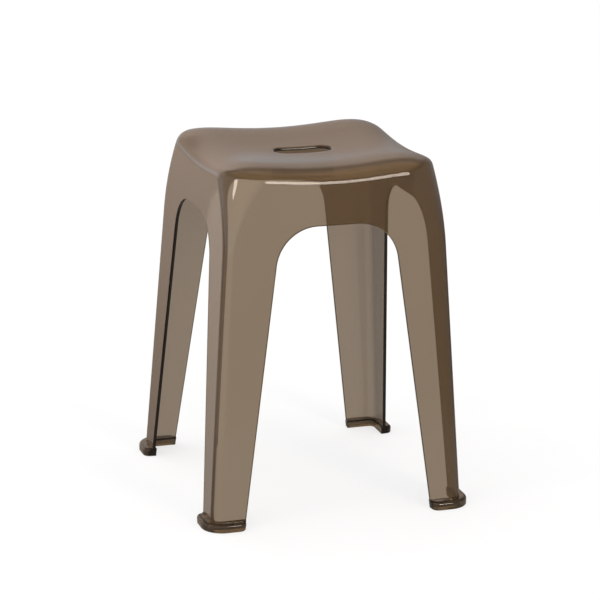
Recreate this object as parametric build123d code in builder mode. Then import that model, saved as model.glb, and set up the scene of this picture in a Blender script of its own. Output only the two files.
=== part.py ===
from build123d import *

import os

# A stacking stool. One thin-walled moulding is its seat, its four drafted walls and, between the
# arches in those walls, its four angle-section legs. Each leg end stands in a separate foot shoe.
# Millimetres, +Z up. The origin is on the floor below the middle of the seat, the front faces -Y,
# and the hand slot is long along X.

# Walls, measured outside
overall_height = 463.0  # floor to the raised corners of the seat
base_width = 343.1  # across two opposite walls at the floor
seat_width = 286.3  # across two opposite walls at the overall height
leg_corner_radius = 12.8
flare_start = 349.4  # height above which the corners open out
seat_corner_radius = 65.1  # at the overall height
shoulder_radius = 13.7  # where a wall rolls over into the seat
wall = 4.5

# Seat, a shallow dish inside a raised crest, which rolls down from there to the walls
crest_width = 203.6  # across two opposite sides of the crest
crest_rise = 5.5  # middle of a side of the crest, above the middle of the seat

# Arches, the same in all four walls
arch_height = 387.5
arch_base_width = 255.2  # at the floor
arch_top_width = 150.6  # where the slanted sides would meet the top
arch_corner_radius = 55.0

# Hand slot, with a collar that hangs below the seat
slot_length = 77.0
slot_width = 30.0
slot_lip_radius = 2.5
collar_depth = 21.0  # from the middle of the seat down
collar_wall = 2.8
collar_edge_radius = 1.0

# Foot shoes, angle-shaped channels that take the leg ends
shoe_height = 11.0
shoe_sole = 2.5  # under the leg end
shoe_flange = 10.0  # outside the wall
shoe_lip = 1.8  # inside the wall
shoe_corner_radius = 28.0  # upright corner below the leg's own
shoe_end_radius = 9.5  # upright corners at the two ends
shoe_top_radius = 4.0
shoe_bottom_radius = 1.0
shoe_fit = 0.1  # groove clearance on each side of the wall

# Worked out from the sizes above
centre_height = overall_height - 2 * crest_rise  # two sides of the crest add up at a corner
draft = (base_width - seat_width) / 2 / overall_height  # lean of a wall for each unit of height
shoe_width = base_width + 2 * shoe_flange
reach = 2 * shoe_width  # passes everything


def wall_outline(inset, height):
    """The square outline of the walls at a height, inset from their outside. Its corners open out above
    the start of the flare, with the square of the height."""
    width = base_width - 2 * (draft * height + inset)
    flare = max(height - flare_start, 0) / (overall_height - flare_start)
    radius = leg_corner_radius + (seat_corner_radius - leg_corner_radius) * flare**2
    with BuildSketch(Plane.XY.offset(height)) as outline:
        RectangleRounded(width, width, radius - inset)
    return outline.sketch


def wall_block(inset, low, high):
    """A block with the draft and the corners of the walls, between two heights, inset from their outside."""
    straight = [wall_outline(inset, height) for height in (low, min(high, flare_start))]
    rise = max(high - flare_start, 0) / 5
    flared = [wall_outline(inset, flare_start + step * rise) for step in range(6)]
    with BuildPart() as block:
        loft(straight, ruled=True)
        if rise:
            loft(flared)
    return block.part


def seat_height(x, y):
    """Height of the seat, with the rise of two profiles added, one across it and one along. Each profile
    rises from the middle to the crest, then falls."""
    across, along = (2 * x / crest_width) ** 2, (2 * y / crest_width) ** 2
    rise = (3 * across - across**3) / 2 + (3 * along - along**3) / 2
    return centre_height + crest_rise * rise


def space_above_seat(drop):
    """Everything above the seat, lowered by a drop: a loft through its profiles from front to back."""
    side = base_width / 2
    stations = [side * step / 6 for step in range(-6, 7)]
    ceiling = overall_height + base_width
    with BuildPart() as space:
        for y in stations:
            end = seat_height(side, y) - drop
            with BuildSketch(Plane.XZ.offset(-y)):
                with BuildLine():
                    Spline(*[(x, seat_height(x, y) - drop) for x in stations])
                    Polyline((side, end), (side, ceiling), (-side, ceiling), (-side, end))
                make_face()
        loft()
    return space.part


def stool_block(inset, low):
    """The stool as a solid block with no arches. With an inset, it is the hollow inside the walls."""
    walls = wall_block(inset, low, overall_height + shoulder_radius)
    space = space_above_seat(inset)
    with BuildPart() as block:
        add(walls)
        add(space, mode=Mode.SUBTRACT)
        seat = block.faces().sort_by(Axis.Z)[-1]
        fillet(seat.edges(), radius=shoulder_radius - inset)
    return block.part


def arch_prisms():
    """Two crossing prisms, each of which opens an arch in two opposite walls."""
    with BuildPart() as prisms:
        for plane in (Plane.XZ, Plane.YZ):
            with BuildSketch(plane) as profile:
                with BuildLine():
                    Polyline(
                        (-arch_base_width / 2, 0),
                        (-arch_top_width / 2, arch_height),
                        (arch_top_width / 2, arch_height),
                        (arch_base_width / 2, 0),
                        close=True,
                    )
                make_face()
                fillet(profile.vertices().group_by(Axis.Y)[-1], radius=arch_corner_radius)
            extrude(amount=reach, both=True)
    return prisms.part


def shoe_groove():
    """The room that a shoe leaves for the leg walls, above its sole."""
    outside = wall_block(-shoe_fit, shoe_sole, 2 * shoe_height)
    inside = wall_block(wall + shoe_fit, 0, 3 * shoe_height)
    with BuildPart() as groove:
        add(outside)
        add(inside, mode=Mode.SUBTRACT)
    return groove.part


outside = stool_block(0, 0)
hollow = stool_block(wall, -wall)
arches = arch_prisms()
groove = shoe_groove()
inside_lips = wall_block(wall + shoe_lip, -shoe_height, 2 * shoe_height)

# Stool shell
with BuildPart() as stool_shell:
    add(outside)
    add(hollow, mode=Mode.SUBTRACT)
    add(arches, mode=Mode.SUBTRACT)
    with BuildSketch():
        Rectangle(reach, reach)
    extrude(amount=shoe_sole, mode=Mode.SUBTRACT)

    # The collar starts inside the thickness of the seat, and the slot goes through both
    collar_end = centre_height - collar_depth
    with BuildSketch(Plane.XY.offset(centre_height - wall / 2)):
        SlotOverall(slot_length + 2 * collar_wall, slot_width + 2 * collar_wall)
    extrude(amount=wall / 2 - collar_depth)
    with BuildSketch(Plane.XY.offset(collar_end)):
        SlotOverall(slot_length, slot_width)
    extrude(amount=reach, mode=Mode.SUBTRACT)
    near_slot = stool_shell.edges().filter_by_position(Axis.X, -slot_length, slot_length)
    near_slot = near_slot.filter_by_position(Axis.Y, -slot_width, slot_width)
    fillet(near_slot.filter_by(lambda e: e.center().Z > centre_height - wall / 2), radius=slot_lip_radius)
    rim = stool_shell.edges().filter_by(lambda e: abs(e.center().Z - collar_end) < collar_edge_radius / 4)
    fillet(rim, radius=collar_edge_radius)

# One foot shoe, at the front left
with BuildPart() as shoe:
    with BuildSketch():
        RectangleRounded(shoe_width, shoe_width, shoe_corner_radius)
    extrude(amount=shoe_height)
    add(arches, mode=Mode.SUBTRACT)
    with BuildSketch():
        Rectangle(reach, reach, align=(Align.MAX, Align.MAX))
    extrude(amount=shoe_height, mode=Mode.INTERSECT)

    # The flange is rounded at its two ends, then round its top and bottom
    flange = -(base_width + shoe_flange) / 2
    uprights = shoe.edges().filter_by_position(Axis.Z, shoe_height / 4, shoe_height * 3 / 4)
    ends = uprights.filter_by(lambda e: min(e.center().X, e.center().Y) < flange)
    ends = ends.sort_by(lambda e: max(e.center().X, e.center().Y))[-2:]
    fillet(ends, radius=shoe_end_radius)
    for face, radius in ((-1, shoe_top_radius), (0, shoe_bottom_radius)):
        rim = shoe.faces().sort_by(Axis.Z)[face].edges()
        fillet(rim.filter_by(lambda e: min(e.center().X, e.center().Y) < flange), radius=radius)
    add(inside_lips, mode=Mode.SUBTRACT)
    add(groove, mode=Mode.SUBTRACT)

pieces = {"stool_shell": stool_shell.part}
for quarter, corner in enumerate(("front_left", "front_right", "back_right", "back_left")):
    with BuildPart() as foot:
        with Locations(Rotation(0, 0, 90 * quarter)):
            add(shoe.part)
    pieces["foot_" + corner] = foot.part

os.makedirs("parts", exist_ok=True)
for name, piece in pieces.items():
    piece.label = name
    print(name, piece.is_valid, len(piece.solids()), round(piece.volume))
    export_step(piece, "parts/" + name + ".step")
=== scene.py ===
"""A stacking stool in clear smoke-brown plastic. Metres, +Z up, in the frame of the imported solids."""

import math

import bmesh
import bpy
import numpy as np
from mathutils import Matrix, Vector


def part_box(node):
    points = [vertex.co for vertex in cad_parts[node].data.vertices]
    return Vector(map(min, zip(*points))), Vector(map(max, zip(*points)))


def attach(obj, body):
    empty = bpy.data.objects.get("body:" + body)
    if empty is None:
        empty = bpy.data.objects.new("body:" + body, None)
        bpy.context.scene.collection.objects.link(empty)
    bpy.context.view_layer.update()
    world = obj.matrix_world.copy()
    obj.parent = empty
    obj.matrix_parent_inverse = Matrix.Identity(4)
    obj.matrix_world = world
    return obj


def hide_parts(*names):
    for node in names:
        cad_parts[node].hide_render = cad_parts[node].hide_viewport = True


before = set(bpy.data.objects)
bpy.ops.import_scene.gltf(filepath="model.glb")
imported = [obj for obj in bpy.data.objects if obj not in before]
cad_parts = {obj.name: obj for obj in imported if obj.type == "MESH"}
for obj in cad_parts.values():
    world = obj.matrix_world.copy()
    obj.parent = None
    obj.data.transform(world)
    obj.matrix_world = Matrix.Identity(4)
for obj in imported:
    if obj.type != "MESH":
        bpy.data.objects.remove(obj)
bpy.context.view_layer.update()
shell_low, shell_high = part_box("stool_shell")
_, shoe_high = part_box("foot_back_right")

# Walls, measured outside
overall_height = 0.463  # floor to the raised corners of the seat
draft = 0.06134  # lean of a wall for each unit of height
leg_end = shell_low.z  # the legs stop in their shoes
base_half = shell_high.x + draft * leg_end
leg_corner = 0.0128
seat_corner = 0.0651  # at the overall height
flare_start = 0.3494  # height above which the corners open out
shoulder = 0.0137  # radius where a wall rolls over into the seat
wall = 0.0045
cut_edge = 0.0005  # rounding of the two edges of a cut wall

# Seat, a shallow dish inside a raised crest, which rolls down from there to the walls
crest_reach = 0.1018  # from the middle to a side of the crest
crest_rise = 0.0055  # middle of a side of the crest, above the middle of the seat
centre_height = overall_height - 2 * crest_rise

# Arches
arch_top = 0.3875
arch_half = 0.1276  # at the floor
arch_lean = 0.13497  # of an arch's side, for each unit of height
arch_corner = 0.055

# Hand slot and its collar
slot_half = 0.0235  # straight part
slot_round = 0.015
slot_lip = 0.0025
collar_depth = 0.021  # from the middle of the seat down
collar_wall = 0.0028
collar_edge = 0.001

# Foot shoes, angle-shaped channels that take the leg ends
shoe_top = shoe_high.z
shoe_half = shoe_high.x
shoe_fit = 0.0001  # clearance round the leg
shoe_sole = leg_end - shoe_fit
shoe_lip = 0.0018  # inside the wall
shoe_corner = 0.028
shoe_end = 0.0095  # upright rounding of its two ends
shoe_top_edge = 0.004
shoe_low_edge = 0.001

# Steps of the grids
leg_corner_steps = 16
arch_side_steps, arch_arc_steps, arch_top_steps = 24, 21, 6
arch_side_spread = 0.9  # below 1, the rows of an arch's side draw together upwards
leg_end_row, arch_rim_row = 0.004, 0.02  # narrow rows beside cut edges, as shares of the way up
above_arch_steps = 13
shoulder_steps, under_shoulder_steps = 10, 8
seat_steps = 26
lip_steps, collar_edge_steps = 5, 3
collar_shares = (0.18, 0.26, 0.6, 1)  # rows down the collar's inner face
collar_back_shares = (0.5, 1)  # rows up its outer face
cut_edge_steps = 3
shoe_end_steps, shoe_run_steps, shoe_corner_steps, shoe_edge_steps = 8, 5, 14, 6
small_step = 1e-5  # for slopes
settling_rounds, settling_share = 30, 0.7  # for the shoulder

quarter = math.pi / 2


def unit(vectors):
    """Vectors divided by their lengths."""
    return vectors / np.linalg.norm(vectors, axis=-1, keepdims=True)


def wall_half(z):
    """Half the width across two walls: it shrinks with the height."""
    return base_half - draft * z


def corner_radius(z):
    """Radius of the upright corners: constant up the legs, then opening out with the square of the height."""
    flare = np.clip((z - flare_start) / (overall_height - flare_start), 0, None)
    return leg_corner + (seat_corner - leg_corner) * flare**2


def dish(x, y):
    """Height of the seat: two profiles added, across it and along it. Each rises from the middle to the
    crest, then falls, as three halves of the squared share of the way less half of its sixth power."""
    across, along = (x / crest_reach) ** 2, (y / crest_reach) ** 2
    return centre_height + crest_rise * (3 * across - across**3 + 3 * along - along**3) / 2


def dish_normal(x, y):
    """Unit upward normal of the seat, from its two slopes."""
    slope_x = (dish(x + small_step, y) - dish(x - small_step, y)) / (2 * small_step)
    slope_y = (dish(x, y + small_step) - dish(x, y - small_step)) / (2 * small_step)
    return unit(np.stack([-slope_x, -slope_y, np.ones_like(slope_x)], -1))


# One leg with its share of the walls and the seat, from the middle of the front wall round the corner to
# the middle of the right wall. A column has a share of each wall's straight run and a turn round the corner.
straight_steps = np.array(
    [0, 0.012, 0.035, 0.075, 0.14, 0.22, 0.31, 0.41, 0.51, 0.61, 0.71, 0.81, 0.9, 0.97, 1]
)
corner_steps = np.linspace(0, 1, leg_corner_steps + 1)[1:-1]
along_front = np.concatenate([straight_steps, np.ones(len(corner_steps) + len(straight_steps))])
along_side = along_front[::-1]
turn = quarter * np.concatenate([0 * straight_steps, corner_steps, 0 * straight_steps + 1])
nearness = np.minimum(along_front, along_side)  # 0 at the arches, 1 round the corner
middle_column = len(turn) // 2


def wall_point(start, z, depth):
    """A point of the leg's walls, a depth below their outside. Along each wall it goes from a start to the
    corner by the column's share, and round the corner on an arc by the column's turn."""
    radius = corner_radius(z)
    run = wall_half(z) - radius
    x = start + (run - start) * along_front + (radius - depth) * np.sin(turn)
    y = start + (run - start) * along_side + (radius - depth) * np.cos(turn)
    return np.stack(np.broadcast_arrays(x, -y, z), -1)


def roll_over(depth):
    """Where a ball of the shoulder's radius, less the depth, touches the wall and the seat that lie that
    depth below the outside. Its centre is a radius from both. Gives the wall's height there, the ball's
    centre and the two normals, for each column."""
    radius = shoulder - depth
    z = np.full(len(turn), centre_height - shoulder)
    along = np.stack([np.cos(turn), np.sin(turn), 0 * turn], -1)
    for _ in range(settling_rounds):
        touch = wall_point(0, z, depth)
        rise = wall_point(0, z + small_step, depth) - wall_point(0, z - small_step, depth)
        wall_normal = unit(np.cross(along, rise / (2 * small_step)))
        centre = touch - radius * wall_normal
        seat_normal = dish_normal(centre[:, 0], centre[:, 1])
        on_seat = centre + radius * seat_normal
        z = z - settling_share * (on_seat[:, 2] - dish(on_seat[:, 0], on_seat[:, 1]) + depth)
    return z, centre, wall_normal, seat_normal


def arch_side(offset):
    """Distance from the middle and height along half an arch, moved into the wall by an offset: up its
    leaning side, round its corner on an arc and along its top. Also gives the count of points on its side."""
    lean = math.atan(arch_lean)
    centre_z = arch_top - arch_corner
    centre_x = arch_half - arch_lean * centre_z - arch_corner / math.cos(lean)
    radius = arch_corner + offset
    angle = np.linspace(lean, quarter, arch_arc_steps + 1)
    arc_x, arc_z = centre_x + radius * np.cos(angle), centre_z + radius * np.sin(angle)
    rise = np.linspace(0, 1, arch_side_steps, endpoint=False) ** arch_side_spread
    rise = np.insert(rise, 1, leg_end_row)
    foot_z = leg_end + offset
    side_z = foot_z + rise * (arc_z[0] - foot_z)
    side_x = arc_x[0] + arch_lean * (arc_z[0] - side_z)
    top = np.linspace(1, 0, arch_top_steps + 1)[1:]
    x = np.concatenate([side_x, arc_x, centre_x * top])
    z = np.concatenate([side_z, arc_z, np.full(len(top), arch_top + offset)])
    return x, z, len(side_x)


def wall_rows(offset, depth, top_z):
    """The walls of one leg as rows, from its foot to the shoulder. A row starts on the arch, or above it on
    the wall's middle, and its height runs evenly to the corner's own height. Also gives the count of rows
    that start on the arch."""
    start, arch_z, legs = arch_side(offset)
    over_arch = np.concatenate([[arch_rim_row], np.linspace(0, 1, above_arch_steps + 1)[1:]])
    start = np.concatenate([start, 0 * over_arch])
    middle_z = np.concatenate([arch_z, arch_z[-1] + over_arch * (top_z[0] - arch_z[-1])])
    bend = np.linspace(0, 1, len(start) - legs + 1)[1:]
    corner_top = top_z[middle_column]
    corner_z = np.concatenate([arch_z[:legs], arch_z[legs - 1] + bend * (corner_top - arch_z[legs - 1])])
    middle_share, corner_share = (middle_z / top_z[0])[:, None], (corner_z / corner_top)[:, None]
    share = middle_share * (1 - nearness) + corner_share * nearness
    return wall_point(start[:, None], share * top_z, depth), len(arch_z)


def shoulder_rows(depth, steps):
    """The arc that the ball leaves between wall and seat, from the wall's normal round to the seat's."""
    _, centre, wall_normal, seat_normal = roll_over(depth)
    bend = np.arccos(np.clip((wall_normal * seat_normal).sum(-1), -1, 1))[None, :, None]
    share = np.linspace(0, 1, steps + 1)[1:, None, None]
    normal = (np.sin((1 - share) * bend) * wall_normal + np.sin(share * bend) * seat_normal) / np.sin(bend)
    return centre + (shoulder - depth) * normal


def slot_outline(offset):
    """The hand slot's outline at an offset outside it, for each column: a straight run, then a round end."""
    column = np.arange(len(turn)) / middle_column
    front = np.clip(column, 0, 1) * slot_half
    angle = np.clip(column - 1, 0, 1) * quarter
    radius = slot_round + offset
    return np.stack([front + radius * np.sin(angle), -radius * np.cos(angle)], -1)


def seat_rows(rim, offset, drop, steps):
    """The seat, from its rim inwards to the hand slot's outline: straight lines from above, on the dish."""
    share = np.linspace(0, 1, steps + 1)[1:, None, None]
    flat = rim[None, :, :2] * (1 - share) + slot_outline(offset)[None] * share
    return np.concatenate([flat, (dish(flat[..., 0], flat[..., 1]) - drop)[..., None]], -1)


def collar_rows():
    """The hand slot's lip and collar as rows round the slot. The profile goes over the rounded lip, down
    inside, round the lower edge and up outside, to a small round below the seat."""
    lip_turn = np.linspace(0, 1, lip_steps + 1)[1:] * quarter
    edge_turn = np.linspace(0, 1, collar_edge_steps + 1)[1:] * quarter
    seat_z = dish(*slot_outline(0).T)
    below = seat_z - wall
    end = np.full(len(turn), centre_height - collar_depth)
    low = end + collar_edge
    far = collar_wall - collar_edge
    rows = [(slot_lip * (1 - math.sin(t)), seat_z - slot_lip * (1 - math.cos(t))) for t in lip_turn]
    rows += [(0, seat_z + (low - seat_z) * share) for share in collar_shares]
    rows += [(collar_edge * (1 - math.cos(t)), low - collar_edge * math.sin(t)) for t in edge_turn]
    rows += [(far, end)]
    rows += [(far + collar_edge * math.sin(t), end + collar_edge * (1 - math.cos(t))) for t in edge_turn]
    rows += [(collar_wall, low + (below - collar_edge - low) * share) for share in collar_back_shares]
    for t in edge_turn:
        rows.append((collar_wall + collar_edge * (1 - math.cos(t)), below - collar_edge * (1 - math.sin(t))))
    return np.stack([np.column_stack([slot_outline(offset), z]) for offset, z in rows])


def grid_faces(rows, columns, first=0):
    """Quads of a grid whose points run along its rows, numbered from a first point."""
    corner = (np.arange(rows - 1)[:, None] * columns + np.arange(columns - 1)).ravel() + first
    return np.stack([corner, corner + 1, corner + columns + 1, corner + columns], -1)


def mirrored(points, faces, corners):
    """The copies of one leg's surface at the given corners, by mirroring across X and Y. One mirror turns
    the faces round, so they are turned back."""
    all_points, all_faces = [], []
    for count, (side, front) in enumerate(corners):
        all_points.append(points * np.array([side, front, 1]))
        all_faces.append((faces if side * front > 0 else faces[:, ::-1]) + count * len(points))
    return np.concatenate(all_points), np.concatenate(all_faces)


def make_piece(name, points, faces, finish, **shades):
    """A closed mesh: its seams are welded, its normals turned outwards and its hard edges kept. Shades are
    attributes of its points that paint shade and light: the edge shade is up to 1 on edges, painted dark where
    light leaves them dark, and the inner light is 1 on the inner side of a wall, painted paler."""
    weld, sliver, hard_edge = 2e-6, 1e-7, math.radians(50)
    mesh = bpy.data.meshes.new(name)
    mesh.from_pydata(points.reshape(-1, 3).tolist(), [], faces)
    for shade, values in shades.items():
        mesh.attributes.new(shade, "FLOAT", "POINT").data.foreach_set("value", values.ravel())
    work = bmesh.new()
    work.from_mesh(mesh)
    bmesh.ops.remove_doubles(work, verts=work.verts, dist=weld)
    bmesh.ops.dissolve_degenerate(work, edges=work.edges, dist=sliver)
    bmesh.ops.recalc_face_normals(work, faces=work.faces)
    work.to_mesh(mesh)
    work.free()
    mesh.shade_smooth()
    mesh.set_sharp_from_angle(angle=hard_edge)
    mesh.materials.append(finish)
    piece = bpy.data.objects.new(name, mesh)
    bpy.context.scene.collection.objects.link(piece)
    return piece


class Value:
    """One output of a node. Arithmetic on values adds Math nodes."""

    def __init__(self, socket):
        self.socket = socket

    def beside(self, name):
        """Another output of the same node."""
        return Value(self.socket.node.outputs[name])

    def maths(self, operation, first, second):
        """A Math node on two values or numbers."""
        nodes = Nodes(self.socket.id_data)
        return nodes.add("ShaderNodeMath", {"operation": operation}, {0: first, 1: second})

    def __add__(self, other):
        return self.maths("ADD", self, other)

    __radd__ = __add__

    def __sub__(self, other):
        return self.maths("SUBTRACT", self, other)

    def __rsub__(self, other):
        return self.maths("SUBTRACT", other, self)

    def __mul__(self, other):
        return self.maths("MULTIPLY", self, other)

    __rmul__ = __mul__


class Nodes:
    """A node tree that nodes are added to."""

    def __init__(self, tree):
        self.tree = tree

    def add(self, kind, settings, sockets, output=0):
        """A new node of a kind. Its settings are set first, then the values or links of its sockets."""
        node = self.tree.nodes.new(kind)
        for name, setting in settings.items():
            setattr(node, name, setting)
        for name, value in sockets.items():
            if isinstance(value, Value):
                self.tree.links.new(value.socket, node.inputs[name])
            else:
                node.inputs[name].default_value = value
        return Value(node.outputs[output]) if node.outputs else node

    def mix(self, share, first, second):
        """A colour between two others. Its sockets are numbered, because the node's names repeat."""
        return self.add("ShaderNodeMix", {"data_type": "RGBA"}, {0: share, 6: first, 7: second}, 2)

    def ramp(self, value, low, high, below, above, easing="SMOOTHSTEP"):
        """A number that goes from one below a low limit to another above a high limit of a value."""
        limits = {"From Min": low, "From Max": high, "To Min": below, "To Max": above}
        return self.add("ShaderNodeMapRange", {"interpolation_type": easing}, {"Value": value, **limits})

    def rays(self):
        """Masks of three kinds of rays: from the camera, through plastic, and off a gloss."""
        seen = self.add("ShaderNodeLightPath", {}, {}, "Is Camera Ray")
        through = seen.beside("Is Transmission Ray")
        gloss = seen.beside("Is Glossy Ray") * (1 - through)
        return seen, through, gloss


def fresh_nodes(owner):
    """The empty node tree of a new material or world."""
    owner.use_nodes = True
    owner.node_tree.nodes.clear()
    return Nodes(owner.node_tree)


white, black = (1, 1, 1, 1), (0, 0, 0, 1)
# Painted shade: the near black of edges that light leaves dark
edge_black = (0.012, 0.003, 0.001, 1)


def smoke_plastic(name, outside_browns, inside_browns, depth_colour, dullness):
    """Clear smoke-brown moulded plastic. Its colour drifts slowly between two browns with the flow of the
    melt. It has painted light, paler on the inner side of a wall, and painted shade, near black on edges.
    Fine rub marks vary its gloss, and faint waves run over it."""
    material = bpy.data.materials.new(name)
    nodes = fresh_nodes(material)
    place = nodes.add("ShaderNodeTexCoord", {}, {}, "Object")
    drawn = nodes.add("ShaderNodeMapping", {}, {"Vector": place, "Scale": (1.0, 1.0, 0.35)})
    flow = nodes.add("ShaderNodeTexNoise", {}, {"Vector": drawn, "Scale": 14.0, "Detail": 3.0})
    # Painted light: a paler brown on the inner side of a wall
    inside = nodes.add("ShaderNodeAttribute", {"attribute_name": "inside"}, {}, "Fac")
    tint = nodes.mix(inside, nodes.mix(flow, *outside_browns), nodes.mix(flow, *inside_browns))
    # Painted shade: edges turn near black
    edge = nodes.add("ShaderNodeAttribute", {"attribute_name": "edge"}, {}, "Fac")
    rubs = nodes.add("ShaderNodeTexNoise", {}, {"Vector": place, "Scale": 160.0, "Detail": 4.0})
    waves = nodes.add("ShaderNodeTexNoise", {}, {"Vector": place, "Scale": 30.0, "Detail": 1.0})
    relief = nodes.add("ShaderNodeBump", {}, {"Strength": 0.08, "Distance": 0.001, "Height": waves})
    rub_depth = 0.05
    plastic = nodes.add(
        "ShaderNodeBsdfPrincipled",
        {},
        {
            "Base Color": nodes.mix(edge, tint, edge_black),
            "Roughness": dullness + rubs * rub_depth,
            "IOR": 1.47,
            "Transmission Weight": 0.905,
            "Normal": relief,
        },
    )
    body = nodes.add("ShaderNodeVolumeAbsorption", {}, {"Color": depth_colour, "Density": 264.0})
    nodes.add("ShaderNodeOutputMaterial", {}, {"Surface": plastic, "Volume": body})
    return material


shell_plastic = smoke_plastic(
    "smoke_plastic",
    outside_browns=((0.60, 0.36, 0.14, 1), (0.57, 0.34, 0.13, 1)),
    inside_browns=((0.92, 0.68, 0.42, 1), (0.87, 0.645, 0.40, 1)),
    depth_colour=(0.10, 0.25, 0.61, 1),
    dullness=0.02,
)
foot_plastic = smoke_plastic(
    "smoke_foot_plastic",
    outside_browns=((0.42, 0.30, 0.185, 1), (0.39, 0.275, 0.17, 1)),
    inside_browns=((0.88, 0.70, 0.46, 1), (0.83, 0.66, 0.43, 1)),
    depth_colour=(0.66, 0.61, 0.53, 1),
    dullness=0.12,
)

# Shell. One sheet of rows goes up the outside, over the seat, round the collar and down the inside, and a
# rim closes its cut edges
outer_top, inner_top = roll_over(0)[0], roll_over(wall)[0]
outer_walls, arch_rows = wall_rows(cut_edge, 0, outer_top)
inner_walls, _ = wall_rows(cut_edge, wall, inner_top)
outer_shoulder, inner_shoulder = shoulder_rows(0, shoulder_steps), shoulder_rows(wall, under_shoulder_steps)
under_offset = collar_wall + collar_edge
sheet = np.concatenate(
    [
        outer_walls,
        outer_shoulder,
        seat_rows(outer_shoulder[-1], slot_lip, 0, seat_steps),
        collar_rows(),
        seat_rows(inner_shoulder[-1], under_offset, wall, seat_steps)[-2::-1],
        inner_shoulder[::-1],
        inner_walls[::-1],
    ]
)


def rim_path(offset, depth):
    """The cut edge of one leg and its half arches: down the front arch, along the foot and up the side
    arch."""
    top_z = outer_top + (inner_top - outer_top) * depth / wall
    rows, _ = wall_rows(offset, depth, top_z)
    return np.concatenate([rows[arch_rows - 1 : 0 : -1, 0], rows[0], rows[1:arch_rows, -1]])


bends = np.linspace(0, 1, cut_edge_steps + 1) * quarter
outer_round = [(cut_edge * (1 - math.sin(t)), cut_edge * (1 - math.cos(t))) for t in bends]
inner_round = [(offset, wall - depth) for offset, depth in outer_round[::-1]]
rim = np.stack([rim_path(offset, depth) for offset, depth in outer_round + [(0, wall / 2)] + inner_round])

# Painted shade on the edges, which light leaves dark, and painted light on the paler inner faces
rim_shade = np.array([0.3, 0.45, 0.75, 1, 1, 1, 0.75, 0.45, 0.3])  # painted shade across the cut
# Painted shade on the slot's lip, below its upper rows
lip_shade, clear_lip_rows = 0.9, 2
lip_row = len(outer_walls) + len(outer_shoulder) + seat_steps  # where the slot's lip starts
collar_row = lip_row + lip_steps  # where the collar's inner face starts
collar_end_row = collar_row + len(collar_shares)  # where its lower edge starts
collar_back_row = collar_end_row + 2 * collar_edge_steps + 1  # where its outer face starts
sheet_edge = np.zeros(sheet.shape[:2])
# Painted shade beside the rims of the arches and at the leg ends
for border in (0, -1):
    sheet_edge[:arch_rows, border] = rim_shade[0]
    sheet_edge[-arch_rows:, border] = rim_shade[0]
sheet_edge[[0, -1]] = 1
sheet_edge[lip_row + clear_lip_rows : collar_row] = lip_shade
# Painted shade round the collar's lower edge
sheet_edge[collar_end_row - 1 : collar_back_row] = 1
# Painted light on the inner faces of the collar and the walls
sheet_inside = np.zeros(sheet.shape[:2])
sheet_inside[collar_row:collar_end_row] = 1
sheet_inside[collar_back_row:] = 1
edge = np.concatenate([sheet_edge.ravel(), np.repeat(rim_shade, rim.shape[1])])
inside = np.concatenate([sheet_inside.ravel(), np.zeros(rim.shape[0] * rim.shape[1])])

points = np.concatenate([sheet.reshape(-1, 3), rim.reshape(-1, 3)])
rim_faces = grid_faces(*rim.shape[:2], first=sheet_edge.size)
faces = np.concatenate([grid_faces(*sheet.shape[:2]), rim_faces])
corners = {"front_right": (1, 1), "front_left": (-1, 1), "back_right": (1, -1), "back_left": (-1, -1)}
points, faces = mirrored(points, faces, corners.values())
edge, inside = np.tile([edge, inside], len(corners))
shell = make_piece("stool_shell_moulding", points, faces.tolist(), shell_plastic, edge=edge, inside=inside)
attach(shell, "root")
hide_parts("stool_shell")

# Foot shoes. A column turns round the end of the flange, has a share of the straight run, then turns round
# the corner
end_steps = np.linspace(0, 1, shoe_end_steps + 1)
run_steps = np.linspace(0, 1, shoe_run_steps + 1)[1:]
bend_steps = np.linspace(0, 1, shoe_corner_steps + 1)[1:-1]
half_columns = len(end_steps) + len(run_steps)
past_middle = np.ones(len(bend_steps) + half_columns)
front_end = quarter * np.concatenate([end_steps, run_steps * 0 + 1, past_middle])
front_run = np.concatenate([end_steps * 0, run_steps, past_middle])
bend = quarter * np.concatenate([np.zeros(half_columns), bend_steps, np.ones(half_columns)])


def shoe_row(half, corner, z, inset, rounded):
    """A row along the shoe, on a square outline with a half width and a corner radius, inset from it. It
    starts where the arch cuts it. Where it is rounded, its ends turn in on an arc."""
    start = arch_half - arch_lean * z
    end = shoe_end - inset
    run = half - corner - start - shoe_end
    front = start + shoe_end + run * front_run - end * np.cos(front_end)
    side = start + shoe_end + run * front_run[::-1] - end * np.cos(front_end[::-1])
    x = front + (corner - inset) * np.sin(bend) - rounded * end * (1 - np.sin(front_end[::-1]))
    y = side + (corner - inset) * np.cos(bend) - rounded * end * (1 - np.sin(front_end))
    return np.stack(np.broadcast_arrays(x, -y, z), -1)


def flange_row(z, inset):
    """A row round the outside of the shoe's flange."""
    return shoe_row(shoe_half, shoe_corner, z, inset, 1)


def beside_wall(depth, z):
    """A row of the shoe that follows the leg's walls, a depth below their outside."""
    return shoe_row(wall_half(z) - depth, leg_corner - depth, z, 0, 0)


turns = np.linspace(0, 1, shoe_edge_steps + 1) * quarter
lip_dark, lip_clear = 0.0018, 0.003  # below the top of the lip: its painted dark line fades out between them
flange = [beside_wall(-shoe_fit, shoe_top)]
for t in turns:
    flange.append(flange_row(shoe_top - shoe_top_edge * (1 - math.cos(t)), shoe_top_edge * (1 - math.sin(t))))
for t in turns[::2]:
    flange.append(flange_row(shoe_low_edge * (1 - math.sin(t)), shoe_low_edge * (1 - math.cos(t))))
lip_heights = (0, shoe_top - lip_clear, shoe_top - lip_dark, shoe_top)
lip = [beside_wall(wall + shoe_lip, z) for z in lip_heights]
groove = [beside_wall(wall + shoe_fit, z) for z in (shoe_top, shoe_sole)]
groove += [beside_wall(-shoe_fit, z) for z in (shoe_sole, shoe_top)]
shoe = np.stack(flange + lip + groove)

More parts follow.
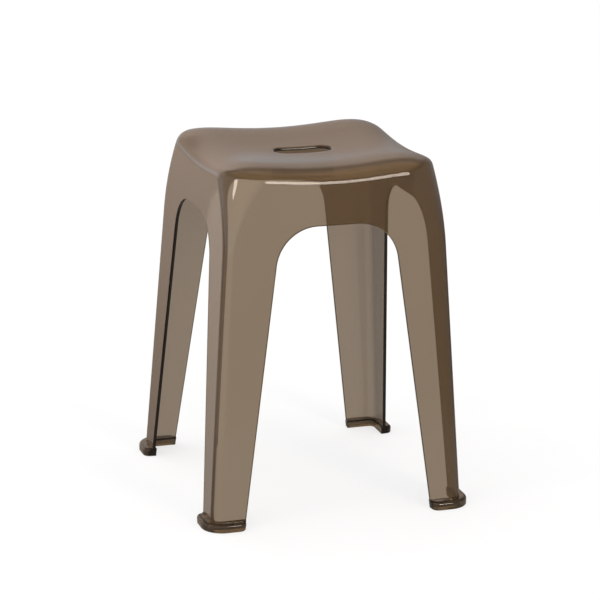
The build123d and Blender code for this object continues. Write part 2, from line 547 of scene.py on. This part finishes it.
flange_shade = np.array([0.85, 0.85, 0.85, 0.8, 0.5, 0.2])  # painted shade, from the leg out over the top edge
end_columns = 3
inner_row = len(flange)  # where the lip's inner face starts
dark_row = inner_row + lip_heights.index(shoe_top - lip_dark)
# Painted shade beside the leg, on the top of the lip and at the ends
shoe_edge = np.zeros(shoe.shape[:2])
shoe_edge[: len(flange_shade)] = flange_shade[:, None]
shoe_edge[dark_row : inner_row + len(lip) + 1] = 1
shoe_edge[:, :end_columns] = 1
shoe_edge[:, -end_columns:] = 1
# Painted light on the lip's inner face
shoe_inside = np.zeros(shoe.shape[:2])
shoe_inside[inner_row:dark_row] = 1

rows, columns = shoe.shape[:2]
loop = np.arange(rows - 1) * columns
ends = [loop.tolist(), (loop[::-1] + columns - 1).tolist()]
for corner, mirror in corners.items():
    points, faces = mirrored(shoe.reshape(-1, 3), grid_faces(rows, columns), [mirror])
    faces = faces.tolist() + ends
    foot = make_piece("shoe_" + corner, points, faces, foot_plastic, edge=shoe_edge, inside=shoe_inside)
    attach(foot, "root")
    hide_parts("foot_" + corner)

# Floor, white to the camera and through the plastic. In the gloss it is dim and warm, with a glow on the left
# and another before the stool
floor_level = -0.0003
first_ring, floor_reach = 0.3, 6
floor_rings, floor_spokes = 12, 64
rings = np.concatenate([[0], np.geomspace(first_ring, floor_reach, floor_rings)])
angles = np.linspace(0, 2 * math.pi, floor_spokes + 1)
level = np.full((len(rings), len(angles)), floor_level)
floor_points = np.stack([np.outer(rings, np.cos(angles)), np.outer(rings, np.sin(angles)), level], -1)
floor_grey, floor_warm_grey = (0.28, 0.28, 0.28, 1), (0.28, 0.22, 0.18, 1)
left_tone, near_tone = (1, 0.83, 0.71, 1), (1, 0.92, 0.85, 1)
seen_glow, left_glow, near_glow = 0.71, 0.64, 0.25
before_stool = (0.1, -0.25, 0)

floor_paint = bpy.data.materials.new("floor_paint")
nodes = fresh_nodes(floor_paint)
seen, through, gloss = nodes.rays()
place = nodes.add("ShaderNodeTexCoord", {}, {}, "Object")
across = nodes.add("ShaderNodeSeparateXYZ", {}, {0: place}, "X")
left = nodes.ramp(across, low=0.1, high=-0.8, below=0.0, above=1.0, easing="LINEAR")
away = nodes.add("ShaderNodeVectorMath", {"operation": "DISTANCE"}, {0: place, 1: before_stool}, "Value")
near = nodes.ramp(away, low=0.25, high=0.8, below=1.0, above=0.0)
grey = nodes.mix(gloss, floor_grey, floor_warm_grey)
paint = nodes.add("ShaderNodeBsdfDiffuse", {}, {"Color": nodes.mix(through, grey, black)})
tone = nodes.mix(gloss, white, nodes.mix(near, left_tone, near_tone))
strength = seen * seen_glow + through + gloss * (left * left_glow * (1 - near) + near * near_glow)
glow = nodes.add("ShaderNodeEmission", {}, {"Color": tone, "Strength": strength})
both = nodes.add("ShaderNodeAddShader", {}, {0: paint, 1: glow})
nodes.add("ShaderNodeOutputMaterial", {}, {"Surface": both})
floor = make_piece("floor", floor_points, grid_faces(len(rings), len(angles)).tolist(), floor_paint)

# Background, white to the camera and through the plastic. In the gloss it is a warm studio, brighter on the
# left, with a pale horizon, a bright ring above it and a golden top. The rest of its light comes from the left
ring_tone, top_tone, horizon_tone = (1, 0.82, 0.72, 1), (1, 0.64, 0.38, 1), (1, 0.93, 0.91, 1)
horizon_glow, top_glow = 0.06, 0.5
light_level, light_slope = 0.72, 0.72
upper_left = (-0.75, 0.1, 0.65)

scene = bpy.context.scene
scene.world = bpy.data.worlds.new("studio")
nodes = fresh_nodes(scene.world)
seen, through, gloss = nodes.rays()
clear = seen + through
direction = nodes.add("ShaderNodeTexCoord", {}, {}, "Generated")
height = nodes.add("ShaderNodeSeparateXYZ", {}, {0: direction}, "Z")
horizon = nodes.ramp(height, low=0.04, high=0.21, below=1.0, above=0.0)
ring = nodes.ramp(height, low=0.40, high=0.60, below=0.75, above=0.28)
top = nodes.ramp(height, low=0.62, high=0.85, below=0.0, above=1.0)
towards = {0: direction, 1: upper_left}
from_left = nodes.add("ShaderNodeVectorMath", {"operation": "DOT_PRODUCT"}, towards, "Value")
sky = nodes.ramp(from_left, low=-0.2, high=0.3, below=0.45, above=1.525, easing="LINEAR")
studio = gloss * sky * (ring + horizon_glow * horizon + top_glow * top)
strength = clear + studio + (1 - clear - gloss) * (light_level + light_slope * from_left)
warm = nodes.mix(horizon, nodes.mix(top, ring_tone, top_tone), horizon_tone)
tone = nodes.mix(gloss, white, warm)
background = nodes.add("ShaderNodeBackground", {}, {"Color": tone, "Strength": strength})
nodes.add("ShaderNodeOutputWorld", {}, {"Surface": background})

# Lamps
lamp_aim = Vector((0, 0, 0.4))
lamp_tone = (1, 0.88, 0.78)
lamp_spill = 0.3  # of a lamp's light on matt surfaces


def soft_box(name, place, width, height, power):
    """A soft lamp with an oval face, turned to the stool. Neither the camera nor the plastic shows it."""
    lamp = bpy.data.lights.new(name, "AREA")
    lamp.shape = "ELLIPSE"
    lamp.size = width
    lamp.size_y = height
    lamp.energy = power
    lamp.diffuse_factor = lamp_spill
    lamp.color = lamp_tone
    box = bpy.data.objects.new(name, lamp)
    box.location = place
    box.rotation_euler = (lamp_aim - Vector(place)).to_track_quat("-Z", "Y").to_euler()
    box.visible_camera = False
    box.visible_transmission = False
    scene.collection.objects.link(box)


soft_box("front_box", (1.68, -4.76, 2.1), width=1.26, height=2.5, power=80)
soft_box("left_box", (-3.69, -0.93, 2.02), width=0.72, height=0.7, power=13)

# Camera
azimuth, elevation, roll = math.radians(-18.24), math.radians(16.3448), math.radians(0.7181)
distance = 3.54543
aim = Vector((-0.0009633, 0, 0.2472712))
level_back = Vector((math.sin(azimuth), -math.cos(azimuth), 0)) * math.cos(elevation)
back = level_back + Vector((0, 0, math.sin(elevation)))
right = Vector((0, 0, 1)).cross(back).normalized()
up = back.cross(right)
tilted_right = right * math.cos(roll) + up * math.sin(roll)
tilted_up = up * math.cos(roll) - right * math.sin(roll)
view = bpy.data.cameras.new("camera")
view.sensor_width = 36
view.lens = 159.93
camera = bpy.data.objects.new("camera", view)
facing = Matrix((tilted_right, tilted_up, back)).transposed().to_4x4()
camera.matrix_world = Matrix.Translation(aim + back * distance) @ facing
scene.collection.objects.link(camera)
scene.camera = camera
scene.view_settings.view_transform = "Standard"
